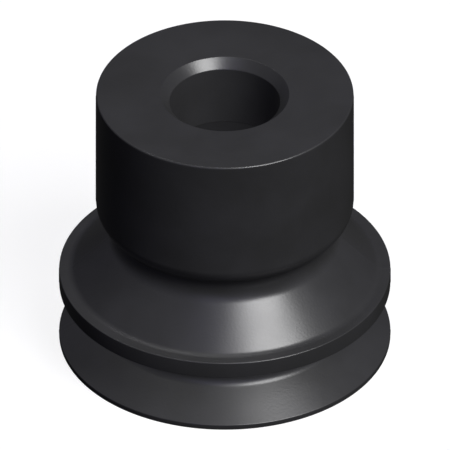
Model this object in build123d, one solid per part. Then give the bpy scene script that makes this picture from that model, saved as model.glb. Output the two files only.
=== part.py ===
from build123d import *

import os
from math import cos, radians, sin, tan

# Bellows suction cup with one and a half folds, moulded in one piece of rubber.
#
# The cup stands on its sealing lip. The origin is the centre of the lip's edge, and +Z runs up the
# axis to the neck. The neck is pushed onto a nipple, whose stem fills the bore and whose head sits
# in the wider recess below it. From the neck down come the hinge groove, the fold with its thick
# rim, the waist and the thin lip. The hollow inside follows the same folds one wall further in, with
# plain corners where the outside is rounded.

# Overall sizes, in millimetres
overall_height = 16.0
rim_diameter = 18.0
lip_diameter = 18.0

# Neck: a thick sleeve with a chamfered bore, over a recess for the nipple's head
neck_diameter = 14.0
neck_wall = 2.0
bore_diameter = 6.0
bore_length = 4.0
bore_chamfer = 0.5

# Hinge groove between the neck and the fold
groove_depth = 0.98
groove_radius = 1.05
shoulder_radius = 1.0
shoulder_angle = 45.0

# Fold: a cone down to a flat ledge, an upright rim, and a shallow cone back in to the waist
fold_angle = 45.0
bellows_wall = 1.1
ledge_width = 0.65
ledge_radius = 0.6
rim_height = 0.95
underside_angle = 27.5

# Waist between the fold and the lip
waist_diameter = 13.7
waist_radius = 0.6

# Sealing lip: a cone that thins towards its edge
lip_angle = 32.5
lip_inner_angle = 20.0
lip_edge_height = 0.3
lip_land_width = 0.15


def height_at(radius, point, angle):
    """The height at a radius on the line through a point that rises outwards at an angle."""
    return point[1] + (radius - point[0]) * tan(radians(angle))


def crossing(first_point, first_angle, second_point, second_angle):
    """The corner where two such lines cross."""
    gap = height_at(0, second_point, second_angle) - height_at(0, first_point, first_angle)
    radius = gap / (tan(radians(first_angle)) - tan(radians(second_angle)))
    return radius, height_at(radius, first_point, first_angle)


def way_to_centre(root_radius, upper_angle, lower_angle):
    """How far out the centre of a rounded root lies from the sharp corner of its slopes."""
    distance = root_radius / sin(radians((upper_angle + lower_angle) / 2))
    return distance * cos(radians((upper_angle - lower_angle) / 2))


def outer_skin():
    """Corners of the outside by name, from the lip's edge up to the top of the neck."""
    neck = neck_diameter / 2
    rim = rim_diameter / 2
    lip = lip_diameter / 2
    groove_centre = neck - groove_depth + groove_radius
    groove = groove_centre - way_to_centre(groove_radius, shoulder_angle, fold_angle)
    waist_centre = waist_diameter / 2 + waist_radius
    waist = waist_centre - way_to_centre(waist_radius, underside_angle, lip_angle)

    skin = {"lip_edge": (lip, 0), "lip_top": (lip, lip_edge_height)}
    skin["waist"] = (waist, height_at(waist, skin["lip_top"], -lip_angle))
    skin["rim_bottom"] = (rim, height_at(rim, skin["waist"], underside_angle))
    skin["rim_top"] = (rim, skin["rim_bottom"][1] + rim_height)
    skin["ledge"] = (rim - ledge_width, skin["rim_top"][1])
    skin["groove"] = (groove, height_at(groove, skin["ledge"], -fold_angle))
    skin["shoulder"] = (neck, height_at(neck, skin["groove"], shoulder_angle))
    skin["neck_top"] = (neck, overall_height)
    return skin


def inner_skin(outer):
    """Corners of the inside by name, from the mouth of the bore down to the lip's land."""
    bore = bore_diameter / 2
    recess = neck_diameter / 2 - neck_wall
    recess_top = overall_height - bore_length
    cone_inside = (outer["ledge"][0], outer["ledge"][1] - bellows_wall / cos(radians(fold_angle)))
    fold_floor = (outer["waist"][0], outer["waist"][1] + bellows_wall / cos(radians(underside_angle)))
    ridge = waist_diameter / 2 - bellows_wall
    land = (lip_diameter / 2 - lip_land_width, 0)
    return {
        "bore_mouth": (bore + bore_chamfer, overall_height),
        "bore_top": (bore, overall_height - bore_chamfer),
        "bore_bottom": (bore, recess_top),
        "recess": (recess, recess_top),
        "throat": (recess, height_at(recess, cone_inside, -fold_angle)),
        "fold": crossing(cone_inside, -fold_angle, fold_floor, underside_angle),
        "ridge_top": (ridge, height_at(ridge, fold_floor, underside_angle)),
        "ridge_bottom": (ridge, height_at(ridge, land, -lip_inner_angle)),
        "lip_land": land,
    }


def half_section():
    """The cup's half section: the corners of both skins in turn, with the outer ones rounded."""
    outer = outer_skin()
    inner = inner_skin(outer)
    rounded = {
        "waist": waist_radius,
        "ledge": ledge_radius,
        "groove": groove_radius,
        "shoulder": shoulder_radius,
    }
    points = list(outer.values()) + list(inner.values())
    radii = [rounded.get(name, 0) for name in outer] + [0] * len(inner)
    with BuildSketch(Plane.XZ) as section:
        with BuildLine():
            FilletPolyline(*points, radius=radii, close=True)
        make_face()
    return section.sketch


def bellows_cup():
    """The whole cup: its half section turned once round the axis."""
    return revolve(half_section(), axis=Axis.Z)


os.makedirs("parts", exist_ok=True)
export_step(bellows_cup(), "parts/bellows_cup.step")
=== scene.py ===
from math import atan, cos, radians, sin, tan

import bpy
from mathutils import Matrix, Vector


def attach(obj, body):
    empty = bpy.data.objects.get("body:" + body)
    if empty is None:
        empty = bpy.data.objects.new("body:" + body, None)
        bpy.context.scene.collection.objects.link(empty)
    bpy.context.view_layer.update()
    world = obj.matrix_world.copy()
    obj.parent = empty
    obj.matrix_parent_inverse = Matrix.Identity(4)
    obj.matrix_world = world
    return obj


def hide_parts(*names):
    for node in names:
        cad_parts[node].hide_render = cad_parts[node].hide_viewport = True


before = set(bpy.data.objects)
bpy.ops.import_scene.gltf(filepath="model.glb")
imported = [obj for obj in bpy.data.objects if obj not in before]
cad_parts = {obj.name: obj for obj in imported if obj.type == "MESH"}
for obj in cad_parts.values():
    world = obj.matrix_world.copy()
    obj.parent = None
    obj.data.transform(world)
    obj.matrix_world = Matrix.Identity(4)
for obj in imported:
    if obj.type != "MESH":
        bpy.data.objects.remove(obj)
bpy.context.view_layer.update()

# The cup
#
# A small bellows suction cup in one piece of black nitrile rubber. It is pressed in a mould of
# two outer halves round a turned core, which leaves a fine parting line down each side and every
# edge a little soft, and it is peeled off the core while it is warm.

MM = 0.001

height = 16.0 * MM
rim = 9.0 * MM
lip = 9.0 * MM
neck = 7.0 * MM
bore = 3.0 * MM
bore_floor = 12.0 * MM
bore_chamfer = 0.5 * MM
recess = 5.0 * MM
groove_bottom = 6.02 * MM
waist_bottom = 6.85 * MM
wall = 1.1 * MM
ledge_width = 0.65 * MM
rim_height = 0.95 * MM
lip_edge = 0.3 * MM
lip_land = 8.85 * MM

# The softened edges, and then the rounded corners
soft_edge = 0.06 * MM
soft_land = 0.03 * MM
soft_lip = 0.05 * MM
soft_neck = 0.1 * MM
soft_bore = 0.08 * MM
waist_fillet = 0.6 * MM
ledge_fillet = 0.6 * MM
groove_fillet = 1.05 * MM
shoulder_fillet = 1.0 * MM
recess_fillet = 0.3 * MM
throat_fillet = 2.0 * MM
fold_fillet = 0.5 * MM
ridge_fillet = 1.0 * MM

# The turning, and the parting lines on it
columns = 480
seam_height = 0.015 * MM
seam_stop = 0.15 * MM
turning_radius = 1 * MM
merge_distance = 0.0001 * MM
on_the_split = 0.001 * MM

shoulder_angle = 45.0
cone_angle = 45.0
under_angle = 27.5
lip_angle = 32.5
lip_inner_angle = 20.0


def rise(angle):
    """The climb of a slope, per unit outwards."""
    return tan(radians(angle))


def inset(fillet, above, below):
    """How far the sharp corner of two slopes lies inside the bottom of its fillet."""
    half = radians((above + below) / 2)
    tilt = radians((above - below) / 2)
    return fillet * (cos(tilt) / sin(half) - 1)


def meet(first, first_angle, second, second_angle):
    """The corner at which two slopes meet, each given by a point and its angle."""
    level = first[1] - first[0] * rise(first_angle)
    other = second[1] - second[0] * rise(second_angle)
    r = (other - level) / (rise(first_angle) - rise(second_angle))
    return r, level + r * rise(first_angle)


# The outside is worked out from the lip upwards, and the inside one wall further in
waist = waist_bottom - inset(waist_fillet, under_angle, lip_angle)
waist_z = lip_edge + (lip - waist) * rise(lip_angle)
rim_z = waist_z + (rim - waist) * rise(under_angle)
ledge = rim - ledge_width
ledge_z = rim_z + rim_height
groove = groove_bottom - inset(groove_fillet, shoulder_angle, cone_angle)
groove_z = ledge_z + (ledge - groove) * rise(cone_angle)
shoulder_z = groove_z + (neck - groove) * rise(shoulder_angle)

cone_inside = (ledge, ledge_z - wall / cos(radians(cone_angle)))
fold_floor = (waist, waist_z + wall / cos(radians(under_angle)))
throat_z = cone_inside[1] + (cone_inside[0] - recess) * rise(cone_angle)
fold = meet(cone_inside, -cone_angle, fold_floor, under_angle)
ridge = waist_bottom - wall
ridge_top_z = fold_floor[1] - (fold_floor[0] - ridge) * rise(under_angle)
ridge_foot_z = (lip_land - ridge) * rise(lip_inner_angle)

# Each corner of the half section: radius, height, rounding, points on the rounding, and 1 where
# the mould's two halves meet, which is on the outside and stops just short of the flat top
half_section = [
    (lip_land, 0, soft_land, 3, 0),
    (lip, 0, soft_lip, 5, 0),
    (lip, lip_edge, soft_edge, 6, 1),
    (waist, waist_z, waist_fillet, 20, 1),
    (rim, rim_z, soft_edge, 7, 1),
    (rim, ledge_z, soft_edge, 7, 1),
    (ledge, ledge_z, ledge_fillet, 10, 1),
    (groove, groove_z, groove_fillet, 20, 1),
    (neck, shoulder_z, shoulder_fillet, 10, 1),
    (neck, height - seam_stop, 0, 1, 1),
    (neck, height, soft_neck, 8, 0),
    (bore + bore_chamfer, height, soft_edge, 5, 0),
    (bore, height - bore_chamfer, soft_bore, 5, 0),
    (bore, bore_floor, soft_edge, 7, 0),
    (recess, bore_floor, recess_fillet, 8, 0),
    (recess, throat_z, throat_fillet, 10, 0),
    (fold[0], fold[1], fold_fillet, 14, 0),
    (ridge, ridge_top_z, ridge_fillet, 12, 0),
    (ridge, ridge_foot_z, ridge_fillet, 12, 0),
]

section_mesh = bpy.data.meshes.new("half_section")
section_mesh.from_pydata(
    [(r, 0, z) for r, z, _, _, _ in half_section],
    [(i, (i + 1) % len(half_section)) for i in range(len(half_section))],
    [],
)
rounding = section_mesh.attributes.new("rounding", "FLOAT", "POINT")
rounding.data.foreach_set("value", [row[2] for row in half_section])
round_points = section_mesh.attributes.new("round_points", "INT", "POINT")
round_points.data.foreach_set("value", [row[3] for row in half_section])
split_side = section_mesh.attributes.new("split_side", "FLOAT", "POINT")
split_side.data.foreach_set("value", [row[4] for row in half_section])


def srgb(code):
    """The linear colour of an sRGB hex value, with alpha 1."""
    parts = [int(code[i:i + 2], 16) / 255 for i in (1, 3, 5)]
    return tuple(c / 12.92 if c <= 0.04045 else ((c + 0.055) / 1.055) ** 2.4 for c in parts) + (1,)


def add(tree, kind, links=(), inputs=(), **settings):
    """Adds a node, with its settings, its constant inputs and the sockets linked into it."""
    node = tree.nodes.new(kind)
    for name, value in settings.items():
        setattr(node, name, value)
    for name, value in dict(inputs).items():
        node.inputs[name].default_value = value
    for name, socket in dict(links).items():
        tree.links.new(socket, node.inputs[name])
    return node


# Nitrile rubber filled with carbon black, pressed in a spark-finished mould: a near black with a
# faint grey bloom, a broad soft gloss, and a fine even grain that only breaks up the highlights.
rubber = bpy.data.materials.new("moulded nitrile rubber")
rubber.use_nodes = True
surface = rubber.node_tree
surface.nodes.clear()
place = add(surface, "ShaderNodeTexCoord")

# Bloom comes in clouds about 3 mm across. The mould's grain is about 0.03 mm, and is drawn at
# 0.13 mm so that it shows
bloom_size = 3 * MM
grain_size = 0.13 * MM
grain_depth = 0.009 * MM

bloom = add(
    surface, "ShaderNodeTexNoise",
    {"Vector": place.outputs["Object"]},
    {"Scale": 1 / bloom_size, "Detail": 4.0, "Roughness": 0.55},
)
shade = add(surface, "ShaderNodeValToRGB", {"Fac": bloom.outputs["Fac"]})
shade.color_ramp.elements[0].position = 0.3
shade.color_ramp.elements[0].color = srgb("#313131")
shade.color_ramp.elements[1].position = 0.72
shade.color_ramp.elements[1].color = srgb("#363637")
gloss = add(
    surface, "ShaderNodeMapRange",
    {"Value": bloom.outputs["Fac"]},
    {"From Min": 0.3, "From Max": 0.7, "To Min": 0.3, "To Max": 0.36},
)

grain = add(
    surface, "ShaderNodeTexNoise",
    {"Vector": place.outputs["Object"]},
    {"Scale": 1 / grain_size, "Detail": 2.0, "Roughness": 0.5},
)
skin = add(
    surface, "ShaderNodeBump",
    {"Height": grain.outputs["Fac"]}, {"Strength": 0.4, "Distance": grain_depth},
)
finish = add(
    surface, "ShaderNodeBsdfPrincipled",
    {
        "Base Color": shade.outputs["Color"],
        "Roughness": gloss.outputs["Result"],
        "Normal": skin.outputs["Normal"],
    },
    {"IOR": 1.56},
)
add(surface, "ShaderNodeOutputMaterial", {"Surface": finish.outputs["BSDF"]})

# The section is rounded at its corners and turned once round the axis, as a lathe would, and the
# columns at the mould's two split lines stand a little proud
turning = bpy.data.node_groups.new("turned cup", "GeometryNodeTree")
turning.is_modifier = True
face = turning.interface
face.new_socket("Half section", in_out="INPUT", socket_type="NodeSocketGeometry")
columns_in = face.new_socket("Columns", in_out="INPUT", socket_type="NodeSocketInt")
seam_in = face.new_socket("Seam height", in_out="INPUT", socket_type="NodeSocketFloat")
path_in = face.new_socket("Turning radius", in_out="INPUT", socket_type="NodeSocketFloat")
rubber_in = face.new_socket("Rubber", in_out="INPUT", socket_type="NodeSocketMaterial")
face.new_socket("Cup", in_out="OUTPUT", socket_type="NodeSocketGeometry")

given = add(turning, "NodeGroupInput")
outline = add(turning, "GeometryNodeMeshToCurve", {"Mesh": given.outputs["Half section"]})
radius_at = add(
    turning, "GeometryNodeInputNamedAttribute", (), {"Name": "rounding"}, data_type="FLOAT",
)
points_at = add(
    turning, "GeometryNodeInputNamedAttribute", (), {"Name": "round_points"}, data_type="INT",
)
rounded = add(
    turning, "GeometryNodeFilletCurve",
    {
        "Curve": outline.outputs["Curve"],
        "Count": points_at.outputs["Attribute"],
        "Radius": radius_at.outputs["Attribute"],
    },
    mode="POLY",
)
path = add(
    turning, "GeometryNodeCurvePrimitiveCircle",
    {"Resolution": given.outputs["Columns"], "Radius": given.outputs["Turning radius"]},
)
shift = add(
    turning, "ShaderNodeMath",
    {0: given.outputs["Turning radius"]}, {1: -1.0}, operation="MULTIPLY",
)
shift_x = add(turning, "ShaderNodeCombineXYZ", {"X": shift.outputs["Value"]})
centred = add(
    turning, "GeometryNodeTransform",
    {"Geometry": rounded.outputs["Curve"], "Translation": shift_x.outputs["Vector"]},
)
laid = add(
    turning, "GeometryNodeTransform",
    {"Geometry": centred.outputs["Geometry"]},
    {"Rotation": (radians(90), 0, 0)},
)
turned = add(
    turning, "GeometryNodeCurveToMesh",
    {"Curve": path.outputs["Curve"], "Profile Curve": laid.outputs["Geometry"]},
)
closed = add(
    turning, "GeometryNodeMergeByDistance",
    {"Geometry": turned.outputs["Mesh"]}, {"Distance": merge_distance},
)
outwards = add(turning, "GeometryNodeFlipFaces", {"Mesh": closed.outputs["Geometry"]})

# The mould's halves meet in the XZ plane, so the parting lines are the columns with no Y
split_at = add(
    turning, "GeometryNodeInputNamedAttribute", (), {"Name": "split_side"}, data_type="FLOAT",
)
where = add(turning, "GeometryNodeInputPosition")
axes = add(turning, "ShaderNodeSeparateXYZ", {"Vector": where.outputs["Position"]})
off_line = add(turning, "ShaderNodeMath", {0: axes.outputs["Y"]}, operation="ABSOLUTE")
on_line = add(
    turning, "ShaderNodeMath",
    {0: off_line.outputs["Value"]}, {1: on_the_split}, operation="LESS_THAN",
)
share = add(
    turning, "ShaderNodeMath",
    {0: on_line.outputs["Value"], 1: split_at.outputs["Attribute"]}, operation="MULTIPLY",
)
amount = add(
    turning, "ShaderNodeMath",
    {0: share.outputs["Value"], 1: given.outputs["Seam height"]}, operation="MULTIPLY",
)
facing = add(turning, "GeometryNodeInputNormal")
lift = add(turning, "ShaderNodeVectorMath", {0: facing.outputs["Normal"]}, operation="SCALE")
turning.links.new(amount.outputs["Value"], lift.inputs["Scale"])
seamed = add(
    turning, "GeometryNodeSetPosition",
    {"Geometry": outwards.outputs["Mesh"], "Offset": lift.outputs["Vector"]},
)
smooth = add(turning, "GeometryNodeSetShadeSmooth", {"Geometry": seamed.outputs["Geometry"]})
real = add(turning, "GeometryNodeRealizeInstances", {"Geometry": smooth.outputs["Geometry"]})
painted = add(
    turning, "GeometryNodeSetMaterial",
    {"Geometry": real.outputs["Geometry"], "Material": given.outputs["Rubber"]},
)
add(turning, "NodeGroupOutput", {"Cup": painted.outputs["Geometry"]})

blank = bpy.data.objects.new("half_section", section_mesh)
bpy.context.collection.objects.link(blank)
lathe = blank.modifiers.new("turned cup", "NODES")
lathe.node_group = turning
lathe[columns_in.identifier] = columns
lathe[seam_in.identifier] = seam_height
lathe[path_in.identifier] = turning_radius
lathe[rubber_in.identifier] = rubber

# Normals follow the wide faces, so that the narrow rounded edges don't bend them
faces_lead = blank.modifiers.new("faces lead", "WEIGHTED_NORMAL")
faces_lead.mode = "FACE_AREA"
faces_lead.weight = 100

depsgraph = bpy.context.evaluated_depsgraph_get()
cup_mesh = bpy.data.meshes.new_from_object(blank.evaluated_get(depsgraph))
bpy.data.objects.remove(blank)
for name in ("rounding", "round_points", "split_side"):
    cup_mesh.attributes.remove(cup_mesh.attributes[name])
cup = bpy.data.objects.new("moulded_cup", cup_mesh)
bpy.context.collection.objects.link(cup)
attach(cup, "root")
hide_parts("bellows_cup")

# The floor
#
# A plain white table, far wider than the view. The camera sees it white, with the cup's soft
# shadow. Other rays meet a dark one, because black rubber turns grey among so much white, and
# reflections keep only a trace of the white.

reach = 2.0
white_paint = (0.9, 0.9, 0.9, 1)
unseen_paint = (0.005, 0.005, 0.005, 1)
# The glow that brings the lit paint to full white, a touch warm against the cool fill
lift_to_white = (0.165, 0.165, 0.145, 1)
share_in_reflections = 0.05

floor_mesh = bpy.data.meshes.new("table")
floor_mesh.from_pydata(
    [(-reach, -reach, 0), (reach, -reach, 0), (reach, reach, 0), (-reach, reach, 0)],
    [],
    [(0, 1, 2, 3)],
)
table_top = bpy.data.materials.new("white painted table")
table_top.use_nodes = True
paintwork = table_top.node_tree
paintwork.nodes.clear()
seen = add(paintwork, "ShaderNodeLightPath")
colour = add(
    paintwork, "ShaderNodeMix",
    {"Factor": seen.outputs["Is Camera Ray"]}, {6: unseen_paint, 7: white_paint}, data_type="RGBA",
)
paint = add(paintwork, "ShaderNodeBsdfDiffuse", {"Color": colour.outputs[2]})
mirrored = add(
    paintwork, "ShaderNodeMath",
    {0: seen.outputs["Is Glossy Ray"], 1: seen.outputs["Is Transmission Ray"]}, operation="ADD",
)
glow_share = add(
    paintwork, "ShaderNodeMath",
    {0: mirrored.outputs["Value"], 2: seen.outputs["Is Camera Ray"]},
    {1: share_in_reflections}, operation="MULTIPLY_ADD",
)
glow = add(
    paintwork, "ShaderNodeEmission",
    {"Strength": glow_share.outputs["Value"]}, {"Color": lift_to_white},
)
both = add(
    paintwork, "ShaderNodeAddShader",
    {0: paint.outputs["BSDF"], 1: glow.outputs["Emission"]},
)
add(paintwork, "ShaderNodeOutputMaterial", {"Surface": both.outputs["Shader"]})
floor_mesh.materials.append(table_top)
table = bpy.data.objects.new("table", floor_mesh)
bpy.context.collection.objects.link(table)

# The light
#
# One soft key light, up to the right of the camera, gives the streak down the cones. Most of it
# casts no shadow, because the folds are open and unshaded in the photograph. A weak top light, a
# faint cool fill and the table's bounce on the back join it.


def standing_off(source):
    """The turn of a lamp or camera that stands off in this direction and looks back along it."""
    return Vector(source).to_track_quat("Z", "Y").to_euler()


key_side = (0.427, -0.467, 0.775)
camera_side = (0, -0.816, 0.577)
overhead = (-0.15, 0.2, 0.97)
low_behind = (-0.3, 0.93, -0.2)

# Each lamp's name, side, width in degrees, strength, colour, and whether it casts shadows
for name, source, width, strength, tint, shadow in (
    ("key", key_side, 31, 0.6, "#ffffff", True),
    ("key without shadow", key_side, 31, 2.75, "#ffffff", False),
    ("cool fill", camera_side, 60, 0.27, "#c4c0ff", False),
    ("top light", overhead, 40, 0.3, "#ffffff", False),
    ("bounce", low_behind, 40, 1.8, "#ffffff", False),
):
    light = bpy.data.lights.new(name, "SUN")
    light.energy = strength
    light.angle = radians(width)
    light.color = srgb(tint)[:3]
    light.use_shadow = shadow
    # Rays are aimed at each lamp and never left to find it by reflection, because the rim stops
    # those, which takes a quarter of the gleam out of the waist though the lamp casts no shadow
    light.cycles.use_multiple_importance_sampling = False
    lamp = bpy.data.objects.new(name, light)
    lamp.rotation_euler = standing_off(source)
    # The bounce stands for light from a whole table, and a reflection would show it as a disc
    lamp.visible_glossy = name != "bounce"
    bpy.context.collection.objects.link(lamp)

# The room is white to the camera and dim to the rest, with a trace of white in reflections
room_white = 1.0
room_dim = 0.04
room_share_in_reflections = 0.01

room = bpy.data.worlds.new("room")
bpy.context.scene.world = room
room.use_nodes = True
walls = room.node_tree
walls.nodes.clear()
ray = add(walls, "ShaderNodeLightPath")
reflected = add(
    walls, "ShaderNodeMath",
    {0: ray.outputs["Is Glossy Ray"], 1: ray.outputs["Is Transmission Ray"]}, operation="ADD",
)
whiteness = add(
    walls, "ShaderNodeMath",
    {0: reflected.outputs["Value"], 2: ray.outputs["Is Camera Ray"]},
    {1: room_share_in_reflections}, operation="MULTIPLY_ADD",
)
dim = add(walls, "ShaderNodeBackground", (), {"Color": srgb("#c6c2ff"), "Strength": room_dim})
white = add(walls, "ShaderNodeBackground", (), {"Color": srgb("#ffffff"), "Strength": room_white})
pick = add(
    walls, "ShaderNodeMixShader",
    {0: whiteness.outputs["Value"], 1: dim.outputs["Background"], 2: white.outputs["Background"]},
)
add(walls, "ShaderNodeOutputWorld", {"Surface": pick.outputs["Shader"]})

# The camera
#
# The photograph is an isometric view: parallel, from 35.26 degrees up, 24.44 mm across.

view_height = atan(2 ** -0.5)
view_width = 24.442 * MM
towards_eye = Vector((0, -cos(view_height), sin(view_height)))
aim = Vector((0.011 * MM, 0, 7.28 * MM))
stand_off = 0.2
eye = bpy.data.cameras.new("isometric")
eye.type = "ORTHO"
eye.ortho_scale = view_width
eye.clip_start = 0.001
camera = bpy.data.objects.new("isometric", eye)
camera.location = aim + stand_off * towards_eye
camera.rotation_euler = standing_off(towards_eye)
bpy.context.collection.objects.link(camera)
bpy.context.scene.camera = camera
bpy.context.scene.view_settings.view_transform = "Standard"
